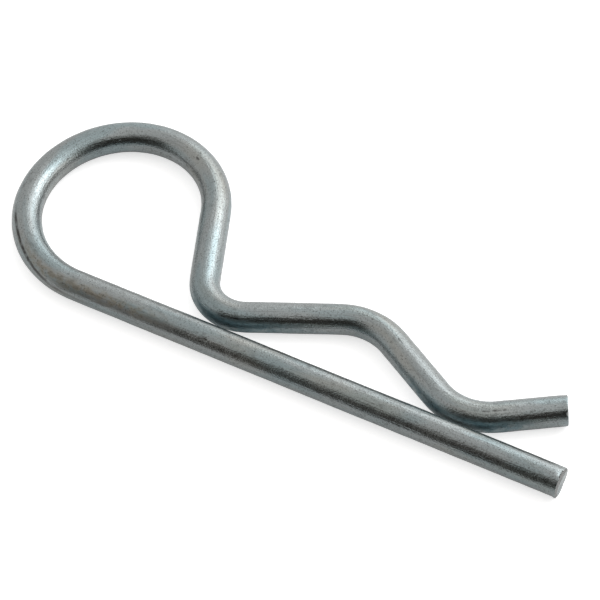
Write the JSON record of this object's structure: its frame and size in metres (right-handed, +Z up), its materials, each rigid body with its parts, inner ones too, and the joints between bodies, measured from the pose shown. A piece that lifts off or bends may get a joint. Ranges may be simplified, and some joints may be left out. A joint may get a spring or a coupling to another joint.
{
  "type": "hairpin cotter pin",
  "caption": "Hairpin cotter pin bent from round zinc-plated spring wire: a straight leg, a round head loop and a wavy leg that springs over a shaft.",
  "frame": {"origin": "centre of the bounding box at its lowest plane, on which the clip lies flat", "axes": "+X along the straight leg towards its cut end, +Y from the straight leg towards the wavy leg, +Z up and square to the clip's flat plane"},
  "size_m": [0.0954, 0.0334, 0.0045],
  "materials": {
    "zinc_plated_wire": "satin bright zinc plate over drawn spring steel wire, with fine draw lines"
  },
  "bodies": {
    "root": {"clip_wire": "zinc_plated_wire"}
  },
  "joints": []
}
